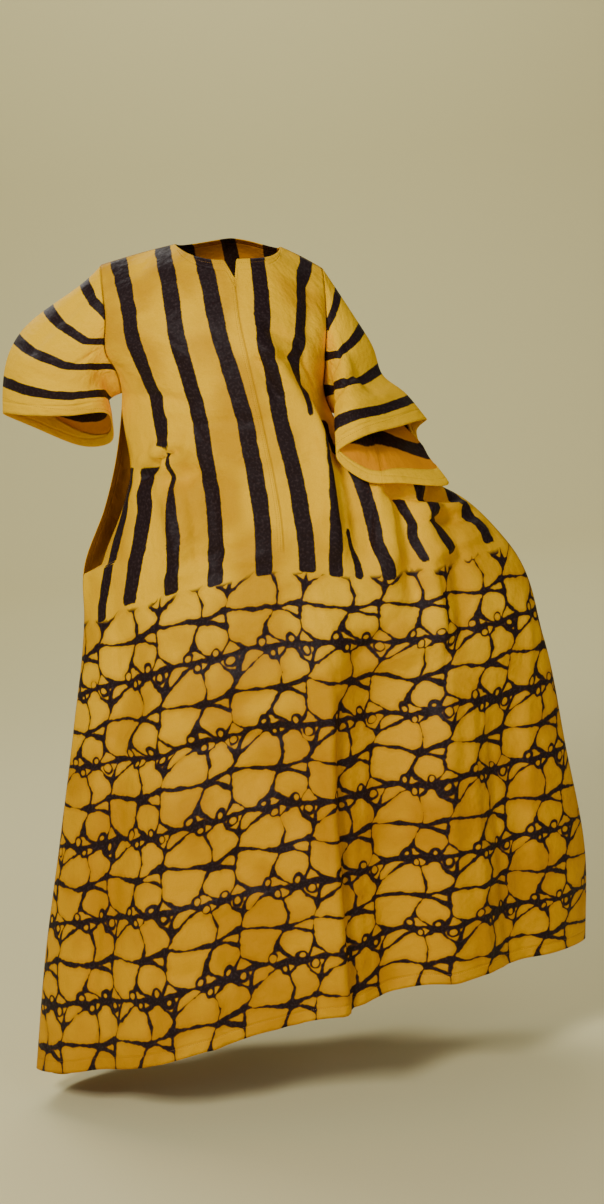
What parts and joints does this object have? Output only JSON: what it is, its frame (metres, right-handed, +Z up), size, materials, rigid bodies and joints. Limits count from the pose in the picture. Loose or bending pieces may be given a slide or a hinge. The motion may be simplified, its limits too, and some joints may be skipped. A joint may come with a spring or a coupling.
{
  "type": "grand boubou robe",
  "caption": "Wide, full-length pullover robe with a round notched neck, wide open sleeves, a slit side and a floor-length skirt",
  "frame": {"origin": "middle of the neck opening at the height of the shoulders, where the wearer holds the robe up", "axes": "+Z up, +X to the right of somebody who looks at the front, the front faces -Y"},
  "size_m": [1.0044, 0.4843, 1.453],
  "materials": {
    "printed_cotton": "plain-woven cotton with a dyed crackle print and a light glaze",
    "sleeve_cotton": "plain-woven cotton, plain yellow with dark woven-looking stripes and a light glaze"
  },
  "bodies": {
    "root": {"front": "printed_cotton", "back": "printed_cotton", "sleeve_left": "sleeve_cotton", "sleeve_right": "sleeve_cotton"}
  },
  "joints": []
}
